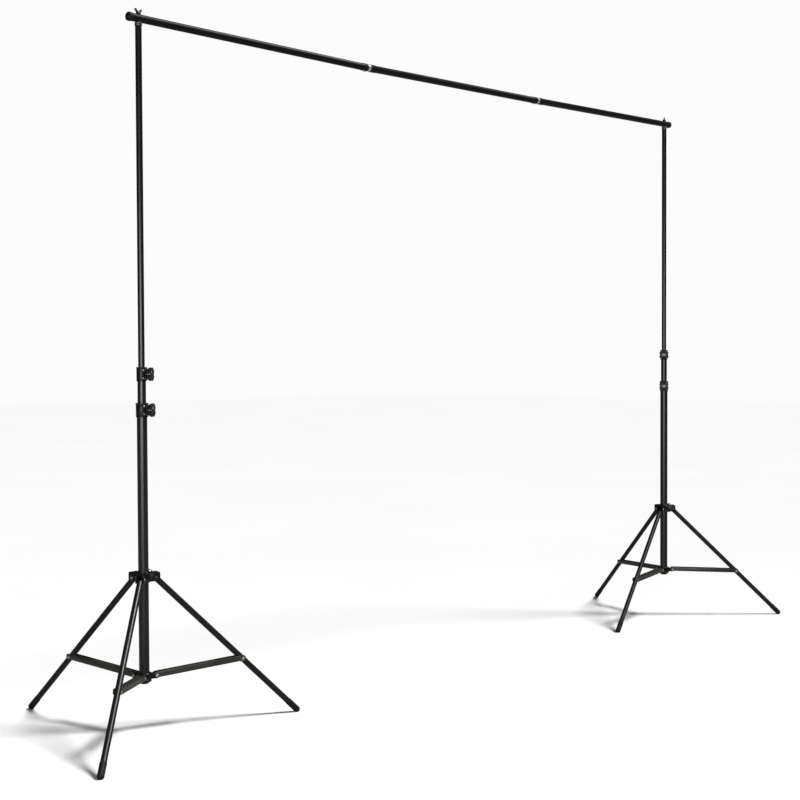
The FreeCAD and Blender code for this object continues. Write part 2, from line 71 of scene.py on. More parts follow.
# ---- Sizes, as the frame has them ----
LOWER_TUBE_R, LOWER_BORE_R = 16.0, 14.5
MIDDLE_TUBE_R, MIDDLE_BORE_R = 13.0, 11.5
TOP_TUBE_R, TOP_BORE_R = 10.0, 8.5
TUBE_LIP = 0.35
COLLAR_HALF = 22.0
TUBE_END_IN_COLLAR = -6.0
COLLAR_GAP = 0.35
SCREW_R = 4.0
KNOB_LOBES = 4
SCOOP_R, SCOOP_CENTRE = 11.0, 28.4
PIVOT_RADIUS = 38.0
LEG_R, LEG_BORE_R = 9.5, 8.3
LEG_LENGTH = 664.0
LEG_JOINT = 400.0
LEG_TOP = 8.0
LEG_END = 652.0
FOOT_BALL_Z = 8.0
FOOT_R = 10.5
FOOT_START = 622.0
BRACE_LENGTH = 285.4
BRACE_INNER, BRACE_OUTER = 10.9, 12.1
BRACE_LOW, BRACE_WEB_UNDER, BRACE_TOP = -5.2, 11.2, 12.4
BRACE_WEB_START, BRACE_WEB_END = 12.0, 190.0
RIVET_R = 3.0
HUB_RIVET_GRIP = 14.0
BRACE_RIVET_GRIP = 12.4
STUD_R = 4.0
BAR_R, BAR_BORE_R = 12.5, 11.0
SLEEVE_R, SLEEVE_LENGTH = 13.5, 28.0
BAR_END = 1441.0
CAP_LENGTH = 14.0
RING_HALF = 7.0
BUTTON_OFFSET = 19.0
BUTTON_HOLE_R = 3.9
COLLAR_SIZES = {
    "lower": {"fixed": LOWER_TUBE_R, "sliding": MIDDLE_TUBE_R, "outer": 18.5, "reach": 21.5},
    "upper": {"fixed": MIDDLE_TUBE_R, "sliding": TOP_TUBE_R, "outer": 15.75, "reach": 18.0},
}
HUB_KNOB_SEAT = 29.0
SCREW_LENGTHS = {"lower": 9.0, "upper": 8.5, "hub": 13.5}
SCREW_HOLE_R = SCREW_R + 0.2
HUB_SCREW_AZIMUTH, HUB_SCREW_Z = 300, 3.0
COLLAR_RIVET_TURNS, COLLAR_RIVET_RISES = (-48, 48), (-12, 12)
KNOB_NODES = {"lower": "_lower_collar_knob", "upper": "_upper_collar_knob", "hub": "_hub_knob"}
KNOB_JOINTS = {"lower": "_lower_knob_turn", "upper": "_upper_knob_turn", "hub": "_hub_lock_turn"}
WING_AZIMUTHS = {"left": 11.5, "right": 35.0}
BAR_JOINTS = {"left": (-428.0, -12.3), "right": (511.0, -9.3)}


def in_mm(metres):
    return Vector(metres) / MM


def joint_place(name):
    return in_mm(joints[name]["pos_m"])


MASTS = {"left": joint_place("crossbar_swivel"), "right": joint_place("right_stand_swivel")}
BAR_MIDDLE = (MASTS["left"] + MASTS["right"]) / 2


# ---- Turning and placing ----
def about_z(degrees):
    return Matrix.Rotation(math.radians(degrees), 4, "Z")


def about_y(degrees):
    return Matrix.Rotation(math.radians(degrees), 4, "Y")


def about_x(degrees):
    return Matrix.Rotation(math.radians(degrees), 4, "X")


OUTWARD = about_y(90)    # what was made standing up points along +X
ACROSS = about_x(90)     # what was made standing up lies across Y


def heading(name):
    """Azimuth in degrees of a knob's axis."""
    axis = joints[name]["axis"]
    return math.degrees(math.atan2(axis[1], axis[0]))


def leg_heading(side, number):
    """Azimuth in degrees that a leg points along; its hinge lies across it."""
    axis = joints["%s_leg_%d_hinge" % (side, number)]["axis"]
    return math.degrees(math.atan2(-axis[0], axis[1]))


# ---- Modelling helpers ----
def pick(piece):
    bpy.ops.object.select_all(action="DESELECT")
    piece.select_set(True)
    bpy.context.view_layer.objects.active = piece


def finish_shape(piece):
    """Puts the place into the mesh, so the object itself sits at the origin."""
    pick(piece)
    bpy.ops.object.transform_apply(location=True, rotation=True, scale=True)
    return piece


def turned(name, stations, sides=48, ring=False):
    """A shape turned about Z through (radius, height) stations. A ring comes back to its start."""
    bpy.ops.object.select_all(action="DESELECT")
    radius, height = stations[0]
    fill = "NOTHING" if ring else "NGON"
    bpy.ops.mesh.primitive_circle_add(vertices=sides, radius=radius * MM, fill_type=fill)
    piece = bpy.context.object
    piece.name = name
    bpy.ops.object.mode_set(mode="EDIT")
    bpy.ops.mesh.select_all(action="SELECT")
    bpy.ops.transform.translate(value=(0, 0, height * MM))
    stops = stations[1:] + stations[:1] if ring else stations[1:]
    for next_radius, next_height in stops:
        rise = (next_height - height) * MM
        bpy.ops.mesh.extrude_region_move(TRANSFORM_OT_translate={"value": (0, 0, rise)})
        scale = next_radius / radius
        bpy.ops.transform.resize(value=(scale, scale, 1), center_override=(0, 0, 0))
        radius, height = next_radius, next_height
    bpy.ops.mesh.select_all(action="SELECT")
    bpy.ops.mesh.remove_doubles(threshold=1e-6)
    bpy.ops.mesh.normals_make_consistent(inside=False)
    bpy.ops.object.mode_set(mode="OBJECT")
    return piece


def block(name, x, y, z):
    """A box between the two values of each of x, y and z."""
    bpy.ops.object.select_all(action="DESELECT")
    bpy.ops.mesh.primitive_cube_add(size=1)
    piece = bpy.context.object
    piece.name = name
    piece.location = Vector((sum(x), sum(y), sum(z))) / 2 * MM
    piece.scale = Vector((x[1] - x[0], y[1] - y[0], z[1] - z[0])) * MM
    return finish_shape(piece)


def turn_piece(piece, matrix):
    piece.matrix_world = matrix
    return finish_shape(piece)


def move_piece(piece, place):
    piece.location = Vector(place) * MM
    return finish_shape(piece)


def bevel_edges(piece, chosen, width, segments):
    """Bevels the edges for which chosen(middle, direction) is true."""
    mesh = piece.data
    mesh.vertices.foreach_set("select", [False] * len(mesh.vertices))
    mesh.polygons.foreach_set("select", [False] * len(mesh.polygons))
    for edge in mesh.edges:
        start, end = [mesh.vertices[i].co / MM for i in edge.vertices]
        edge.select = chosen((start + end) / 2, (end - start).normalized())
    pick(piece)
    bpy.context.tool_settings.mesh_select_mode = (False, True, False)
    bpy.ops.object.mode_set(mode="EDIT")
    bpy.ops.mesh.bevel(offset=width * MM, segments=segments, affect="EDGES")
    bpy.ops.object.mode_set(mode="OBJECT")
    bpy.context.tool_settings.mesh_select_mode = (True, False, False)
    return piece


def combine(piece, other, operation):
    pick(piece)
    modifier = piece.modifiers.new("combine", "BOOLEAN")
    modifier.operation = operation
    modifier.object = other
    modifier.solver = "EXACT"
    bpy.ops.object.modifier_apply(modifier=modifier.name)
    bpy.data.objects.remove(other)
    return piece


def join_on(piece, *others):
    for other in others:
        combine(piece, other, "UNION")
    return piece


def cut_out(piece, *others):
    for other in others:
        combine(piece, other, "DIFFERENCE")
    assert piece.data.polygons, piece.name + " was cut away altogether"
    return piece


def soften(piece, width, segments=2, angle=32):
    """Rounds every edge that is sharper than the angle, then shades the piece smooth."""
    pick(piece)
    modifier = piece.modifiers.new("edges", "BEVEL")
    modifier.width = width * MM
    modifier.segments = segments
    modifier.limit_method = "ANGLE"
    modifier.angle_limit = math.radians(angle)
    modifier.use_clamp_overlap = True
    bpy.ops.object.modifier_apply(modifier=modifier.name)
    return smooth(piece)


def smooth(piece, angle=32):
    pick(piece)
    bpy.ops.object.shade_smooth_by_angle(angle=math.radians(angle))
    return piece


def twin(piece, matrix=Matrix()):
    """Another of the same shape, with its own mesh, turned by matrix."""
    other = piece.copy()
    other.data = piece.data.copy()
    scene.collection.objects.link(other)
    return turn_piece(other, matrix)


def repeat_about_z(piece, angles):
    others = [twin(piece, about_z(angle)) for angle in angles]
    bpy.data.objects.remove(piece)
    return others


workshop = []


def model(piece):
    """Keeps a shape that is copied into place and thrown away at the end."""
    workshop.append(piece)
    return piece


def fit(shape, name, body, finish, turn, place, nodes):
    """Copies a shape into its place on a body, in the finish of one of the record's slots."""
    piece = shape.copy()
    piece.data = shape.data.copy()
    piece.name = name
    scene.collection.objects.link(piece)
    piece.matrix_world = Matrix.Translation(Vector(place) * MM) @ turn
    finish_shape(piece)
    piece.data.materials.clear()
    piece.data.materials.append(finishes[finish])
    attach(piece, body)
    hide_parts(*nodes)
    return piece


# ---- Finishes ----
PATTERN_LOW, PATTERN_HIGH = 0.35, 0.65    # the middle of a noise pattern's values


def new_finish(name, roughness, metallic=0.0, specular=0.5):
    material = bpy.data.materials.new(name)
    material.use_nodes = True
    shader = material.node_tree.nodes["Principled BSDF"]
    shader.inputs["Roughness"].default_value = roughness
    shader.inputs["Metallic"].default_value = metallic
    shader.inputs["Specular IOR Level"].default_value = specular
    return material


def pattern(material, scale, stretch=(1, 1, 1), detail=3.0):
    """Noise laid through the piece, drawn out by stretch."""
    tree = material.node_tree
    place = tree.nodes.new("ShaderNodeTexCoord")
    mapping = tree.nodes.new("ShaderNodeMapping")
    mapping.inputs["Scale"].default_value = stretch
    noise = tree.nodes.new("ShaderNodeTexNoise")
    noise.inputs["Scale"].default_value = scale
    noise.inputs["Detail"].default_value = detail
    tree.links.new(place.outputs["Object"], mapping.inputs["Vector"])
    tree.links.new(mapping.outputs["Vector"], noise.inputs["Vector"])
    return noise.outputs["Fac"]


def spread(material, value, low, high):
    """Takes a pattern's middle range to the numbers between low and high."""
    tree = material.node_tree
    node = tree.nodes.new("ShaderNodeMapRange")
    node.inputs["From Min"].default_value = PATTERN_LOW
    node.inputs["From Max"].default_value = PATTERN_HIGH
    node.inputs["To Min"].default_value = low
    node.inputs["To Max"].default_value = high
    tree.links.new(value, node.inputs["Value"])
    return node.outputs["Result"]


def tint(material, value, first, second):
    """Two colours shared out by a pattern."""
    tree = material.node_tree
    node = tree.nodes.new("ShaderNodeValToRGB")
    node.color_ramp.elements[0].position = PATTERN_LOW
    node.color_ramp.elements[1].position = PATTERN_HIGH
    node.color_ramp.elements[0].color = (*first, 1)
    node.color_ramp.elements[1].color = (*second, 1)
    tree.links.new(value, node.inputs["Fac"])
    shader = tree.nodes["Principled BSDF"]
    tree.links.new(node.outputs["Color"], shader.inputs["Base Color"])


def rough(material, value):
    shader = material.node_tree.nodes["Principled BSDF"]
    material.node_tree.links.new(value, shader.inputs["Roughness"])


def relief(material, value, depth):
    """Bumps of a depth in millimetres."""
    tree = material.node_tree
    node = tree.nodes.new("ShaderNodeBump")
    node.inputs["Distance"].default_value = depth * MM
    node.inputs["Strength"].default_value = 1.0
    tree.links.new(value, node.inputs["Height"])
    tree.links.new(node.outputs["Normal"], tree.nodes["Principled BSDF"].inputs["Normal"])


def painted(name, dark, light, gloss, drawn=(1, 1, 1), shine=0.5):
    """Satin black paint: faint colour drift, streaks along the drawing and a fine orange peel."""
    material = new_finish(name, sum(gloss) / 2, specular=shine)
    tint(material, pattern(material, 9.0, detail=4.0), dark, light)
    rough(material, spread(material, pattern(material, 55.0, drawn), *gloss))
    relief(material, pattern(material, 700.0, detail=1.0), 0.005)
    return material


def moulded(name, dark, light, gloss, grain, depth, shine=0.25):
    """Moulded plastic with an etched grain."""
    material = new_finish(name, sum(gloss) / 2, specular=shine)
    tint(material, pattern(material, 30.0, detail=5.0), dark, light)
    rough(material, spread(material, pattern(material, 160.0), *gloss))
    relief(material, pattern(material, grain, detail=1.5), depth)
    return material


def bare_metal(name, dark, light, gloss, lines, depth=0.006):
    """Plated or plain metal with the fine lines that its tool left."""
    material = new_finish(name, sum(gloss) / 2, metallic=1.0)
    marks = pattern(material, 900.0, lines)
    tint(material, pattern(material, 120.0, detail=4.0), dark, light)
    rough(material, spread(material, marks, *gloss))
    relief(material, marks, depth)
    return material


EVEN = (1, 1, 1)
ALONG_Z = (1, 1, 0.03)
ALONG_X = (0.03, 1, 1)
ROUND_X = (1, 0.03, 0.03)
ROUND_Z = (0.05, 0.05, 1)
finishes = {
    "mast_tube": painted("mast_tube", (0.0036, 0.0035, 0.0032), (0.0080, 0.0077, 0.0070),
                         (0.24, 0.29), ALONG_Z, 0.45),
    "bar_tube": painted("bar_tube", (0.0028, 0.0027, 0.0025), (0.0060, 0.0058, 0.0054),
                        (0.36, 0.46), ALONG_X, 0.18),
    "leg_tube": painted("leg_tube", (0.0045, 0.0042, 0.0036), (0.0100, 0.0090, 0.0075),
                        (0.32, 0.42), shine=0.35),
    "brace_steel": painted("brace_steel", (0.0170, 0.0162, 0.0130), (0.0330, 0.0308, 0.0245),
                           (0.30, 0.42)),
    "moulded_plastic": moulded("moulded_plastic", (0.0030, 0.0030, 0.0029), (0.0068, 0.0067, 0.0064),
                               (0.30, 0.40), 2600.0, 0.012, 0.22),
    "knob_plastic": moulded("knob_plastic", (0.0034, 0.0034, 0.0033), (0.0080, 0.0078, 0.0075),
                            (0.24, 0.31), 2200.0, 0.006, 0.65),
    "foot_plastic": moulded("foot_plastic", (0.0036, 0.0036, 0.0035), (0.0080, 0.0080, 0.0077),
                            (0.5, 0.7), 1500.0, 0.04),
    "bush_nylon": moulded("bush_nylon", (0.46, 0.46, 0.43), (0.55, 0.55, 0.52),
                          (0.4, 0.5), 1800.0, 0.01),
    "rivet_steel": bare_metal("rivet_steel", (0.30, 0.30, 0.285), (0.42, 0.415, 0.40),
                              (0.38, 0.52), EVEN),
    "stud_steel": bare_metal("stud_steel", (0.10, 0.10, 0.10), (0.19, 0.19, 0.185),
                             (0.38, 0.52), ROUND_Z),
    "button_steel": bare_metal("button_steel", (0.42, 0.42, 0.40), (0.56, 0.55, 0.53),
                               (0.26, 0.40), EVEN),
    "bright_ring": bare_metal("bright_ring", (0.60, 0.60, 0.59), (0.74, 0.74, 0.72),
                              (0.28, 0.44), ROUND_X),
    "black_zinc": painted("black_zinc", (0.0040, 0.0040, 0.0040), (0.0100, 0.0097, 0.0092),
                          (0.34, 0.5)),
}


# ---- Clamp knob: four lobes round a dished face, made standing on its seat ----
def clamp_knob():
    stations = [
        (9.0, 0.4), (9.0, 2.0), (10.4, 2.5), (15.6, 2.5), (17.0, 2.9), (18.6, 4.4), (21.4, 8.0),
        (22.3, 9.8),
        (22.5, 11.0), (22.5, 14.2), (21.9, 15.6), (20.6, 16.6), (18.8, 17.0), (17.2, 16.7),
        (15.4, 15.5),
        (11.0, 14.8), (9.8, 15.4), (9.0, 16.6), (7.8, 17.0), (4.0, 16.8),
    ]
    knob = turned("clamp_knob", stations, sides=96)
    for lobe in range(KNOB_LOBES):
        scoop = turned("scoop", [(SCOOP_R - 1.2, 3.0), (SCOOP_R + 1.4, 19.0)], sides=96)
        move_piece(scoop, about_z(90 * lobe) @ Vector((SCOOP_CENTRE, 0, 0)))
        cut_out(knob, scoop)
    return soften(knob, 1.1, segments=3, angle=28)


def pressure_screw(length):
    """Threaded screw from its tip at z = 0 to its root in the knob."""
    stations = [(2.6, 0.0), (3.4, 0.8)]
    height = 1.2
    while height < length - 1.0:
        stations += [(3.95, height), (3.95, height + 0.25), (3.45, height + 0.6), (3.45, height + 0.75)]
        height += 1.25
    stations += [(3.9, length)]
    return smooth(turned("pressure_screw", stations, sides=32))


# ---- Clamp collar: ring, rim and a lug with the screw's boss; short rivets go into its ring ----
def rivet_turns():
    """Where a collar's rivets sit: turned from the lug, and above or below its middle."""
    return [about_z(angle) @ Matrix.Translation((0, 0, rise * MM))
            for angle in COLLAR_RIVET_TURNS for rise in COLLAR_RIVET_RISES]


def clamp_collar(size):
    outer, reach = size["outer"], size["reach"]
    fixed, sliding = size["fixed"] + 0.02, size["sliding"] + COLLAR_GAP
    inside = sliding - 0.6
    groove = outer - 0.6
    stations = [
        (inside, -COLLAR_HALF), (outer - 0.8, -COLLAR_HALF), (outer, -21.2), (outer, -18.2),
        (groove, -17.8),
        (groove, -17.0), (outer, -16.6), (outer, 15.9), (groove, 16.2), (groove, 16.7),
        (outer + 0.5, 17.2),
        (outer + 0.9, 17.8), (outer + 0.9, 21.2), (outer + 0.1, COLLAR_HALF), (inside, COLLAR_HALF),
    ]
    collar = turned("clamp_collar", stations, sides=96, ring=True)
    lug = block("lug", (outer - 4.5, reach - 0.8), (-7.5, 7.5), (-19.0, 19.0))
    outer_end = reach - 1.0
    bevel_edges(lug, lambda middle, along: middle.x > outer_end and abs(along.y) > 0.9, 3.4, 4)
    bevel_edges(lug, lambda middle, along: middle.x > outer_end and abs(along.z) > 0.9, 1.6, 3)
    boss = turned("boss", [(8.4, outer - 4.0), (8.4, reach - 0.4), (8.0, reach)], sides=48)
    turn_piece(boss, OUTWARD)
    join_on(collar, lug, boss)
    low_bore = turned("bore", [(fixed, -30.0), (fixed, TUBE_END_IN_COLLAR)], sides=64)
    high_bore = turned("bore", [(sliding, -8.0), (sliding, 30.0)], sides=64)
    screw_hole = turned("hole", [(SCREW_HOLE_R, 1.0), (SCREW_HOLE_R, reach + 5)], sides=32)
    turn_piece(screw_hole, OUTWARD)
    cut_out(collar, low_bore, high_bore, screw_hole)
    for turn in rivet_turns():
        seat = turned("seat", [(3.3, outer - 0.4), (3.6, outer + 3)], sides=32)
        cut_out(collar, turn_piece(seat, turn @ OUTWARD))
    return soften(collar, 0.3)


def collar_rivet(outer):
    """Short rivet with a domed head, standing on the collar's ring along Z from the mast's axis."""
    seat = outer - 0.39
    stations = [
        (1.8, seat - 0.3), (1.8, seat), (3.2, seat), (3.2, seat + 0.4), (3.0, seat + 0.8),
        (2.3, seat + 1.2),
        (1.2, seat + 1.38), (0.5, seat + 1.4),
    ]
    return smooth(turned("collar_rivet", stations, sides=32), 40)


def domed_rivet(half_grip, shank_r, head_r, head):
    """A rivet along Z with a low dome at each end."""
    dome = [(0.18, 1.0), (0.45, 0.94), (0.72, 0.74), (0.92, 0.42), (1.0, 0.12)]
    lower = [(head_r * r, -half_grip - head * h) for r, h in dome]
    upper = [(head_r * r, half_grip + head * h) for r, h in reversed(dome)]
    shank = [(head_r, -half_grip), (shank_r, -half_grip), (shank_r, half_grip), (head_r, half_grip)]
    return smooth(turned("domed_rivet", lower + shank + upper, sides=32), 40)


# ---- Tubes ----
def plain_tube(name, outer, bore, low, high, sides=64):
    """A tube with a small rounded lip at each end."""
    lip = TUBE_LIP
    stations = [
        (bore + lip, low), (outer - lip, low), (outer, low + lip), (outer, high - lip),
        (outer - lip, high),
        (bore + lip, high), (bore, high - lip), (bore, low + lip),
    ]
    return turned(name, stations, sides=sides, ring=True)


# ---- Hubs ----
def ear_block(start, end, low, high, half_width, corner):
    """A lug along +X with rounded outer corners."""
    ear = block("ear", (start, end), (-half_width, half_width), (low, high))
    outer_end = end - 0.1
    return bevel_edges(ear, lambda middle, along: middle.x > outer_end and abs(along.y) > 0.9, corner, 8)


def sliding_hub():
    """Ring with three roofed clevises and the lock screw's boss, about the height of the leg pivots."""
    stations = [
        (15.8, -12.0), (20.6, -12.0), (22.0, -10.8), (22.0, -6.0), (21.3, -5.4), (21.3, 5.4),
        (22.0, 6.0),
        (22.0, 16.3), (20.8, 17.5), (19.6, 17.6), (19.0, 18.2), (19.0, 22.0), (18.0, 23.0),
        (15.8, 23.0),
    ]
    hub = turned("sliding_hub", stations, sides=96, ring=True)
    clevis = ear_block(17.0, 50.0, -10.0, 18.45, 14.0, 5.0)
    cut_out(clevis, block("pocket", (23.0, 52.0), (-10.0, 10.0), (-12.0, 14.5)))
    boss = turned("boss", [(9.4, 15.5), (9.4, 26.0), (9.0, 28.6), (8.4, HUB_KNOB_SEAT)], sides=48)
    turn_piece(boss, OUTWARD)
    move_piece(boss, (0, 0, HUB_SCREW_Z))
    turn_piece(boss, about_z(HUB_SCREW_AZIMUTH))
    join_on(hub, *repeat_about_z(clevis, (0, 120, 240)), boss)
    bore = turned("bore", [(16.35, -30.0), (16.35, 40.0)], sides=64)
    screw_hole = turned("hole", [(SCREW_HOLE_R, 1.0), (SCREW_HOLE_R, 40.0)], sides=32)
    turn_piece(screw_hole, OUTWARD)
    move_piece(screw_hole, (0, 0, HUB_SCREW_Z))
    turn_piece(screw_hole, about_z(HUB_SCREW_AZIMUTH))
    cut_out(hub, bore, screw_hole)
    return soften(hub, 0.6)


def base_hub():
    """Closed hub under the column with three lugs for the braces."""
    stations = [
        (6.0, -22.0), (11.6, -22.0), (13.0, -21.2), (15.6, -16.4), (20.6, -16.0), (22.0, -14.8),
        (22.0, -9.0),
        (21.4, -8.5), (21.4, 8.5), (22.0, 9.0), (22.0, 10.8), (20.8, 12.0), (15.4, 12.0), (15.4, -11.0),
    ]
    hub = turned("base_hub", stations, sides=64)
    lug = ear_block(16.5, 46.0, -8.0, 8.0, 10.3, 7.99)
    join_on(hub, *repeat_about_z(lug, (0, 120, 240)))
    cut_out(hub, turned("bore", [(16.05, -12.0), (16.05, 30.0)], sides=64))
    return soften(hub, 0.6)


# ---- Tripod legs, feet and braces, made along +X from their own pivot ----
def foot_cap():
    """Cap on a leg's end with grip grooves and a ball tip, along Z from the hub pivot."""
    groove_r = FOOT_R - 0.6
    stations = [
        (LEG_R, LEG_END), (LEG_R, FOOT_START), (FOOT_R - 0.4, FOOT_START), (FOOT_R, FOOT_START + 0.6),
    ]
    for groove in range(4):
        start = FOOT_START + 7.0 + groove * 4.0
        stations += [
            (FOOT_R, start), (groove_r, start + 0.5), (groove_r, start + 1.4), (FOOT_R, start + 1.9),
        ]
    for step in range(10):
        angle = math.radians(step * 9.4)
        stations.append((FOOT_R * math.cos(angle), LEG_LENGTH + FOOT_R * math.sin(angle)))
    return turned("foot_cap", stations, sides=48)


def flatten_sole(piece):
    """Cuts a placed foot flat where it meets the floor."""
    pick(piece)
    bpy.ops.object.mode_set(mode="EDIT")
    bpy.ops.mesh.select_all(action="SELECT")
    bpy.ops.mesh.bisect(
        plane_co=(0, 0, 0), plane_no=(0, 0, 1), use_fill=True, clear_inner=True, threshold=1e-6)
    bpy.ops.object.mode_set(mode="OBJECT")
    return smooth(piece)


def channel_brace():
    """Pressed channel with its web up, a bead along the web and an open fork at the leg's end."""
    end_r = (BRACE_TOP - BRACE_LOW) / 2 - 0.01
    low_x, high_x = -end_r, BRACE_LENGTH + end_r
    width = (-BRACE_OUTER, BRACE_OUTER)
    gap = (-BRACE_INNER, BRACE_INNER)
    brace = block("channel_brace", (low_x, high_x), width, (BRACE_LOW, BRACE_TOP))
    bevel_edges(brace, lambda middle, along: abs(along.y) > 0.9, end_r, 8)
    bevel_edges(brace, lambda middle, along: middle.z > BRACE_TOP - 0.1 and abs(along.x) > 0.9, 2.2, 4)
    inside = block("inside", (-40, BRACE_LENGTH + 40), gap, (BRACE_LOW - 5, BRACE_WEB_UNDER))
    bevel_edges(inside, lambda middle, along: middle.z > 0 and abs(along.x) > 0.9, 1.2, 3)
    cut_out(brace, inside)
    above = (0, BRACE_TOP + 5)
    fork_end, throat_end = BRACE_WEB_END + 0.1, BRACE_WEB_START - 0.1
    fork = block("fork", (BRACE_WEB_END, BRACE_LENGTH + 40), gap, above)
    bevel_edges(fork, lambda middle, along: middle.x < fork_end and abs(along.z) > 0.9, 6.0, 6)
    throat = block("throat", (-40, BRACE_WEB_START), gap, above)
    bevel_edges(throat, lambda middle, along: middle.x > throat_end and abs(along.z) > 0.9, 6.0, 6)
    bead = block("bead", (30.0, 168.0), (-3.2, 3.2), (BRACE_TOP - 0.7, BRACE_TOP + 2))
    bevel_edges(bead, lambda middle, along: abs(along.z) > 0.9, 3.1, 6)
    pivot_hole = turn_piece(turned("hole", [(RIVET_R, -20.0), (RIVET_R, 20.0)], sides=32), ACROSS)
    cut_out(brace, fork, throat, bead, pivot_hole)
    return soften(brace, 0.25, angle=40)


# ---- Mast head ----
def head_stud():
    """Plug, grooved flange and threaded stud, from the top tube's end up."""
    stations = [
        (8.0, -40.0), (8.4, -39.4), (8.4, 0.0), (10.4, 0.05), (11.5, 0.9), (11.5, 4.4),
        (10.7, 5.0), (10.7, 5.8),
        (11.5, 6.4), (11.5, 10.0), (10.9, 10.7), (STUD_R, 10.7), (STUD_R, 35.4),
    ]
    height = 35.8
    while height < 43.0:
        stations += [
            (3.45, height), (STUD_R, height + 0.45), (STUD_R, height + 0.7), (3.45, height + 1.1),
        ]
        height += 1.25
    stations += [(3.3, 44.8), (2.6, 45.5)]
    return soften(turned("head_stud", stations, sides=40), 0.12, angle=40)


def nut_wing():
    """A slab that rises away from the nut along +X, with a round tip and softened sides."""
    wing = block("wing", (0, 14.2), (-2.3, 2.3), (-3.3, 3.3))
    bevel_edges(wing, lambda middle, along: middle.x > 14.0 and abs(along.y) > 0.9, 3.2, 8)
    bevel_edges(wing, lambda middle, along: middle.x > 1.0 and abs(middle.y) > 2.2, 1.1, 3)
    turn_piece(wing, about_y(-49))
    return move_piece(wing, (4.4, 0, 4.7))


def wing_nut():
    """Tapered nut with two rounded wings, from its base up."""
    stations = [
        (3.4, 0.0), (7.4, 0.0), (8.0, 0.5), (7.8, 1.6), (5.9, 7.0), (5.2, 8.0), (3.4, 8.0),
    ]
    nut = turned("wing_nut", stations, sides=48, ring=True)
    join_on(nut, *repeat_about_z(nut_wing(), (0, 180)))
    cut_out(nut, turned("bore", [(4.1, -5.0), (4.1, 20.0)], sides=48))
    return soften(nut, 0.25, angle=45)


# ---- Crossbar ----
def bar_line(section):
    """Start, slope in degrees and place of one section of the bar's slightly sagging line."""
    half = (MASTS["right"] - MASTS["left"]).x / 2
    stops = [(-half, 0.0), BAR_JOINTS["left"], BAR_JOINTS["right"], (half, 0.0)]
    (x1, z1), (x2, z2) = stops[section:section + 2]
    slope = math.degrees(math.atan2(z2 - z1, x2 - x1))
    return x1, about_y(-slope) @ OUTWARD, BAR_MIDDLE + Vector((x1, 0, z1))


def bar_tube(start, end, sleeves):
    """A section of the bar along Z, swaged out into a sleeve at each of the given heights."""
    outer = [(BAR_R - TUBE_LIP, start), (BAR_R, start + TUBE_LIP)]
    for low in sleeves:
        high = low + SLEEVE_LENGTH
        if low - start < 1:
            outer = [(SLEEVE_R - 0.5, low), (SLEEVE_R, low + 0.5)]
        else:
            outer += [
                (BAR_R, low), (BAR_R + 0.25, low + 0.9), (SLEEVE_R - 0.25, low + 2.1),
                (SLEEVE_R, low + 3.0),
            ]
        if end - high < 1:
            outer += [(SLEEVE_R, high - 0.5), (SLEEVE_R - 0.5, high)]
        else:
            outer += [
                (SLEEVE_R, high - 3.0), (SLEEVE_R - 0.25, high - 2.1), (BAR_R + 0.25, high - 0.9),
                (BAR_R, high),
            ]
    if not sleeves or end - sleeves[-1] - SLEEVE_LENGTH > 1:
        outer += [(BAR_R, end - TUBE_LIP), (BAR_R - TUBE_LIP, end)]
    return turned("bar_tube", outer + [(BAR_BORE_R, end), (BAR_BORE_R, start)], sides=64, ring=True)


def joint_plug():
    """Plug between two sections along Z: loose tail, bright ring, and the end fixed in its tube."""
    stations = [
        (8.1, -60.0), (9.2, -60.0), (9.6, -59.2), (9.6, -RING_HALF), (11.7, -RING_HALF),
        (12.2, 0.5 - RING_HALF),
        (12.2, -0.6), (11.9, -0.3), (11.9, 0.3), (12.2, 0.6), (12.2, RING_HALF - 0.5),
        (11.7, RING_HALF),
        (10.98, RING_HALF), (10.98, 59.2), (10.4, 60.0), (8.1, 60.0),
    ]
    return turned("joint_plug", stations, sides=64, ring=True)


def end_plug():
    """Domed cap with a plug, along Z from its outer face inwards."""
    stations = [
        (6.0, 0.0), (9.6, 0.3), (12.0, 1.4), (13.5, 3.1), (14.0, 5.0), (14.0, 11.6), (13.6, 12.2),
        (13.6, 12.8),
        (14.0, 13.4), (13.8, CAP_LENGTH), (10.98, CAP_LENGTH), (10.98, 29.0), (10.2, 30.0),
    ]
    return smooth(turned("end_plug", stations, sides=64))


def spring_button():
    """Snap button and its flat foot, from the tip up."""
    stations = [
        (0.8, 0.0), (1.9, 0.15), (2.8, 0.55), (3.3, 1.1), (3.5, 1.8), (3.5, 10.8), (5.0, 10.8),
        (5.0, 12.3),
    ]
    return soften(turned("spring_button", stations, sides=32), 0.15, angle=40)


# ---- Shapes that repeat, each made once ----
knob_shape = model(clamp_knob())
screw_shapes = {
    "lower": model(pressure_screw(SCREW_LENGTHS["lower"])),
    "upper": model(pressure_screw(SCREW_LENGTHS["upper"])),
    "hub": model(pressure_screw(SCREW_LENGTHS["hub"])),
}
collar_shapes = {kind: model(clamp_collar(size)) for kind, size in COLLAR_SIZES.items()}
collar_rivet_shapes = {kind: model(collar_rivet(size["outer"])) for kind, size in COLLAR_SIZES.items()}
hub_rivet_shape = model(domed_rivet(HUB_RIVET_GRIP, RIVET_R, 5.5, 2.0))
hub_rivet_tail_shape = model(twin(hub_rivet_shape))
cut_out(hub_rivet_shape, block("tail_space", (-20, 20), (-20, 20), (-40.0, -HUB_RIVET_GRIP)))
cut_out(hub_rivet_tail_shape, block("head_space", (-20, 20), (-20, 20), (-HUB_RIVET_GRIP, 40.0)))
smooth(hub_rivet_shape, 40)
smooth(hub_rivet_tail_shape, 40)
base_rivet_shape = model(domed_rivet(BRACE_RIVET_GRIP, RIVET_R, 5.5, 2.0))
leg_shape = model(plain_tube("leg_tube", LEG_R, LEG_BORE_R, -LEG_TOP, LEG_END, sides=48))
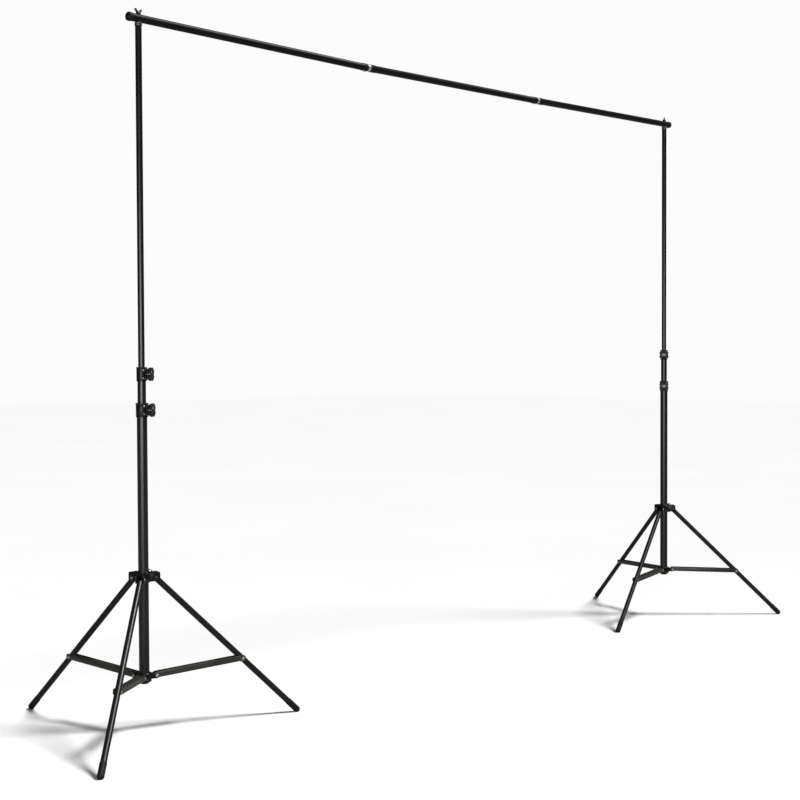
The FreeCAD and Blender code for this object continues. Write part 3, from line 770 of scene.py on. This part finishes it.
pin_hole = turned("pin_hole", [(RIVET_R + 0.1, -20.0), (RIVET_R + 0.1, 20.0)], sides=32)
smooth(cut_out(leg_shape, turn_piece(pin_hole, ACROSS)))
foot_shape = model(foot_cap())
brace_shape = model(channel_brace())
fork_rivet_shape = model(domed_rivet(BRACE_OUTER, RIVET_R, 5.5, 2.0))
cut_out(fork_rivet_shape, block("leg_space", (-20, 20), (-20, 20), (-BRACE_INNER, BRACE_INNER)))
smooth(fork_rivet_shape)
sliding_hub_shape = model(sliding_hub())
base_hub_shape = model(base_hub())
stud_shape = model(head_stud())
wing_nut_shape = model(wing_nut())
plug_shape = model(smooth(joint_plug()))
end_plug_shape = model(end_plug())
button_shape = model(spring_button())


# ---- One stand ----
def fit_knob(side, kind, body, seat):
    """A clamp knob and its screw, on the side that the knob's axis points to."""
    node = side + KNOB_NODES[kind]
    turn_joint = side + KNOB_JOINTS[kind]
    azimuth = heading(turn_joint)
    mast = MASTS[side]
    out = Vector((math.cos(math.radians(azimuth)), math.sin(math.radians(azimuth)), 0))
    height = joint_place(turn_joint).z
    turn = about_z(azimuth) @ OUTWARD
    base = Vector((mast.x, mast.y, height))
    fit(knob_shape, node + "_grip", body, "knob_plastic", turn, base + out * seat, [node])
    tip = seat + 1.0 - SCREW_LENGTHS[kind]
    fit(screw_shapes[kind], node + "_screw", body, "stud_steel", turn, base + out * tip, [node])


def fit_collar(side, kind, body, rivet_node):
    node = "%s_%s_collar" % (side, kind)
    turn_joint = side + KNOB_JOINTS[kind]
    mast = MASTS[side]
    height = joint_place(turn_joint).z
    turn = about_z(heading(turn_joint))
    base = Vector((mast.x, mast.y, height))
    fit(collar_shapes[kind], node + "_clamp", body, "moulded_plastic", turn, base, [node])
    for number, place in enumerate(rivet_turns(), 1):
        fit(collar_rivet_shapes[kind], "%s_rivet_%d" % (node, number), body, "rivet_steel",
            turn @ place @ OUTWARD, base, [rivet_node])


def fit_tubes(side):
    mast = MASTS[side]
    at_floor = Vector((mast.x, mast.y, 0))
    tubes = {
        "lower": ("column", LOWER_TUBE_R, LOWER_BORE_R),
        "middle": ("middle_mast", MIDDLE_TUBE_R, MIDDLE_BORE_R),
        "top": ("top_mast", TOP_TUBE_R, TOP_BORE_R),
    }
    for kind, (body, outer, bore) in tubes.items():
        node = "%s_%s_tube" % (side, kind)
        low, high = [in_mm(corner).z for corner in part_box(node)]
        shape = smooth(plain_tube(node + "_shape", outer, bore, low, high))
        fit(shape, node + "_drawn", side + "_" + body, "mast_tube", Matrix(), at_floor, [node])
        bpy.data.objects.remove(shape)


def fit_tripod(side):
    mast = MASTS[side]
    hub_z = joint_place(side + "_leg_1_hinge").z
    pivot_z = joint_place(side + "_brace_1_hinge").z
    leg_angle = math.acos((hub_z - FOOT_BALL_Z) / LEG_LENGTH)
    joint_out = LEG_JOINT * math.sin(leg_angle)
    joint_up = hub_z - LEG_JOINT * math.cos(leg_angle) - pivot_z
    brace_angle = math.degrees(math.atan2(joint_up, joint_out))
    first = leg_heading(side, 1)
    hub = Vector((mast.x, mast.y, hub_z))
    base = Vector((mast.x, mast.y, pivot_z))
    fit(sliding_hub_shape, side + "_sliding_hub", side + "_hub", "moulded_plastic", about_z(first), hub,
        [side + "_upper_hub"])
    fit(base_hub_shape, side + "_base_hub", side + "_column", "moulded_plastic", about_z(first), base,
        [side + "_lower_hub"])
    for number in (1, 2, 3):
        azimuth = leg_heading(side, number)
        out = about_z(azimuth) @ Vector((PIVOT_RADIUS, 0, 0))
        leg_turn = about_z(azimuth) @ about_y(180 - math.degrees(leg_angle))
        brace_turn = about_z(azimuth) @ about_y(-brace_angle)
        across = about_z(azimuth) @ ACROSS
        leg_body = "%s_leg_%d_set" % (side, number)
        brace_body = "%s_brace_%d_set" % (side, number)
        leg_node = "%s_leg_%d" % (side, number)
        foot_node = "%s_foot_%d" % (side, number)
        brace_node = "%s_brace_%d" % (side, number)
        fit(leg_shape, leg_node + "_drawn", leg_body, "leg_tube", leg_turn, hub + out, [leg_node])
        foot = fit(foot_shape, foot_node + "_cap", leg_body, "foot_plastic", leg_turn, hub + out,
                   [foot_node])
        flatten_sole(foot)
        fit(brace_shape, brace_node + "_channel", brace_body, "brace_steel", brace_turn, base + out,
            [brace_node])
        fork = brace_turn @ Vector((BRACE_LENGTH, 0, 0))
        fit(fork_rivet_shape, brace_node + "_rivet", brace_body, "rivet_steel", across,
            base + out + fork, [brace_node])
        fit(hub_rivet_shape, "%s_hub_rivet_%d" % (side, number), side + "_hub", "black_zinc",
            across, hub + out, [side + "_leg_rivets"])
        fit(hub_rivet_tail_shape, "%s_hub_rivet_tail_%d" % (side, number), side + "_hub", "rivet_steel",
            across, hub + out, [side + "_leg_rivets"])
        fit(base_rivet_shape, "%s_base_rivet_%d" % (side, number), side + "_column", "rivet_steel",
            across, base + out, [side + "_column_rivets"])


def fit_head(side):
    mast = MASTS[side]
    tube_top = in_mm(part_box(side + "_top_tube")[1]).z
    nut_base = in_mm(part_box(side + "_wing_nut")[0]).z
    fit(stud_shape, side + "_head_stud", side + "_top_mast", "stud_steel", Matrix(),
        (mast.x, mast.y, tube_top), [side + "_top_stud"])
    fit(wing_nut_shape, side + "_winged_nut", side + "_nut", "black_zinc", about_z(WING_AZIMUTHS[side]),
        (mast.x, mast.y, nut_base), [side + "_wing_nut"])


def fit_stand(side):
    fit_tubes(side)
    fit_collar(side, "lower", side + "_column", side + "_column_rivets")
    fit_collar(side, "upper", side + "_middle_mast", side + "_upper_collar_rivets")
    fit_knob(side, "lower", side + "_lower_knob", COLLAR_SIZES["lower"]["reach"])
    fit_knob(side, "upper", side + "_upper_knob", COLLAR_SIZES["upper"]["reach"])
    fit_knob(side, "hub", side + "_hub_lock", HUB_KNOB_SEAT)
    fit_tripod(side)
    fit_head(side)


for side in MASTS:
    fit_stand(side)


# ---- Crossbar in place ----
def fit_bar_section(section, node, start, end, sleeves, holes):
    origin, turn, place = bar_line(section)
    shape = bar_tube(start - origin, end - origin, [low - origin for low in sleeves])
    bar = fit(shape, node + "_drawn", "crossbar", "bar_tube", turn, place, [node])
    bpy.data.objects.remove(shape)
    cut_out(bar, *holes)
    smooth(bar)


def stud_hole(side):
    mast = MASTS[side]
    hole = turned("stud_hole", [(STUD_R + 0.1, -20.0), (STUD_R + 0.1, 20.0)], sides=32)
    return move_piece(hole, mast)


def button_place(side):
    x, z = BAR_JOINTS[side]
    return BAR_MIDDLE + Vector((x - BUTTON_OFFSET, 0, z))


def button_hole(side):
    hole = turned("button_hole", [(BUTTON_HOLE_R, -20.0), (BUTTON_HOLE_R, 0.0)], sides=32)
    return move_piece(hole, button_place(side))


left_x, right_x = BAR_JOINTS["left"][0], BAR_JOINTS["right"][0]
open_end = BAR_END - CAP_LENGTH
fit_bar_section(0, "bar_left", -open_end, left_x - RING_HALF, [left_x - RING_HALF - SLEEVE_LENGTH],
                [stud_hole("left"), button_hole("left")])
fit_bar_section(1, "bar_middle", left_x + RING_HALF, right_x - RING_HALF,
                [left_x + RING_HALF, right_x - RING_HALF - SLEEVE_LENGTH], [button_hole("right")])
fit_bar_section(2, "bar_right", right_x + RING_HALF, open_end, [right_x + RING_HALF],
                [stud_hole("right")])

for section, side in ((1, "left"), (2, "right")):
    origin, turn, place = bar_line(section)
    along = turn @ Vector((0, 0, BAR_JOINTS[side][0] - origin))
    plug = fit(plug_shape, side + "_joint_plug", "crossbar", "bright_ring", turn, place + along,
               [side + "_bar_spigot"])
    cut_out(plug, button_hole(side))
    smooth(plug)
    tip = in_mm(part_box(side + "_snap_button")[0]).z
    spot = button_place(side)
    fit(button_shape, side + "_spring_button", side + "_button", "button_steel", Matrix(),
        (spot.x, spot.y, tip), [side + "_snap_button"])

for side, section, outward in (("left", 0, -1), ("right", 2, 1)):
    origin, turn, place = bar_line(section)
    along = turn @ Vector((0, 0, outward * BAR_END - origin))
    facing = turn if outward < 0 else turn @ about_x(180)
    fit(end_plug_shape, "bar_end_plug_" + side, "crossbar", "foot_plastic", facing, place + along,
        ["bar_end_caps"])

for shape in workshop:
    bpy.data.objects.remove(shape)

node_slots = {part["node"]: part["material_slot"] for part in frame["record"]["subparts"]}
for node in frame["nodes"].values():
    if not node.hide_render:
        node.data.materials.clear()
        node.data.materials.append(finishes[node_slots[node["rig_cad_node"]]])


# ---- Floor, light and camera ----
def seen_and_lit(tree, seen, lit, end):
    """Ends in one shader where it is seen directly, and in the other where it only lights things."""
    ray = tree.nodes.new("ShaderNodeLightPath")
    mix = tree.nodes.new("ShaderNodeMixShader")
    tree.links.new(ray.outputs["Is Camera Ray"], mix.inputs["Fac"])
    tree.links.new(lit.outputs[0], mix.inputs[1])
    tree.links.new(seen.outputs[0], mix.inputs[2])
    tree.links.new(mix.outputs["Shader"], tree.nodes[end].inputs["Surface"])


def studio_floor():
    """Pale floor that throws little light back up, as a wide studio's does."""
    bpy.ops.object.select_all(action="DESELECT")
    bpy.ops.mesh.primitive_plane_add(size=60, location=(0, 0, -0.0005))
    floor = bpy.context.object
    floor.name = "studio_floor"
    material = new_finish("pale_floor", 0.9, specular=0.1)
    tint(material, pattern(material, 0.6, detail=2.0), (0.885, 0.885, 0.885), (0.90, 0.90, 0.90))
    tree = material.node_tree
    dim = tree.nodes.new("ShaderNodeBsdfDiffuse")
    dim.inputs["Color"].default_value = (0.3, 0.3, 0.3, 1)
    seen_and_lit(tree, tree.nodes["Principled BSDF"], dim, "Material Output")
    floor.data.materials.append(material)


def soft_light(name, place, target, size, power):
    bpy.ops.object.select_all(action="DESELECT")
    light = bpy.data.lights.new(name, "AREA")
    light.shape = "RECTANGLE"
    light.size, light.size_y = size
    light.energy = power
    lamp = bpy.data.objects.new(name, light)
    scene.collection.objects.link(lamp)
    lamp.location = place
    direction = Vector(target) - Vector(place)
    lamp.rotation_euler = direction.to_track_quat("-Z", "Y").to_euler()


def camera():
    """Stands in front of the bar's left end, a little over a metre up, and looks along 45 degrees."""
    yaw, pitch, roll = math.radians(44.83), math.radians(-1.6), math.radians(-0.24)
    data = bpy.data.cameras.new("camera")
    data.sensor_width = 36
    data.lens = 63.1
    data.clip_end = 200
    eye = bpy.data.objects.new("camera", data)
    scene.collection.objects.link(eye)
    forward = Vector((
        math.sin(yaw) * math.cos(pitch), math.cos(yaw) * math.cos(pitch), math.sin(pitch)))
    level = Vector((math.cos(yaw), -math.sin(yaw), 0))
    above = level.cross(forward)
    right = level * math.cos(roll) + above * math.sin(roll)
    up = above * math.cos(roll) - level * math.sin(roll)
    facing = Matrix((right, up, -forward)).transposed().to_4x4()
    eye.matrix_world = Matrix.Translation((-3.873, -3.700, 1.146)) @ facing
    scene.camera = eye


def high_light(name, towards, softness, strength):
    """Even light from far away, soft by its angle in degrees."""
    light = bpy.data.lights.new(name, "SUN")
    light.energy = strength
    light.angle = math.radians(softness)
    lamp = bpy.data.objects.new(name, light)
    scene.collection.objects.link(lamp)
    lamp.rotation_euler = Vector(towards).to_track_quat("-Z", "Y").to_euler()


def studio_air():
    """Pale surroundings: bright where they are seen, dimmer where they only light the object."""
    world = bpy.data.worlds.new("studio")
    world.use_nodes = True
    tree = world.node_tree
    lit = tree.nodes["Background"]
    lit.inputs["Color"].default_value = (1, 1, 1, 1)
    lit.inputs["Strength"].default_value = 0.05
    seen = tree.nodes.new("ShaderNodeBackground")
    seen.inputs["Color"].default_value = (1, 1, 1, 1)
    seen.inputs["Strength"].default_value = 0.97
    seen_and_lit(tree, seen, lit, "World Output")
    scene.world = world


studio_floor()
studio_air()
high_light("window", (-0.45, 0.45, -1.0), 14, 3.9)
soft_light("key", (-5.9, -5.0, 1.2), (-0.2, 0.2, 1.2), (6.4, 1.6), 275)
scene.view_settings.view_transform = "Standard"
camera()
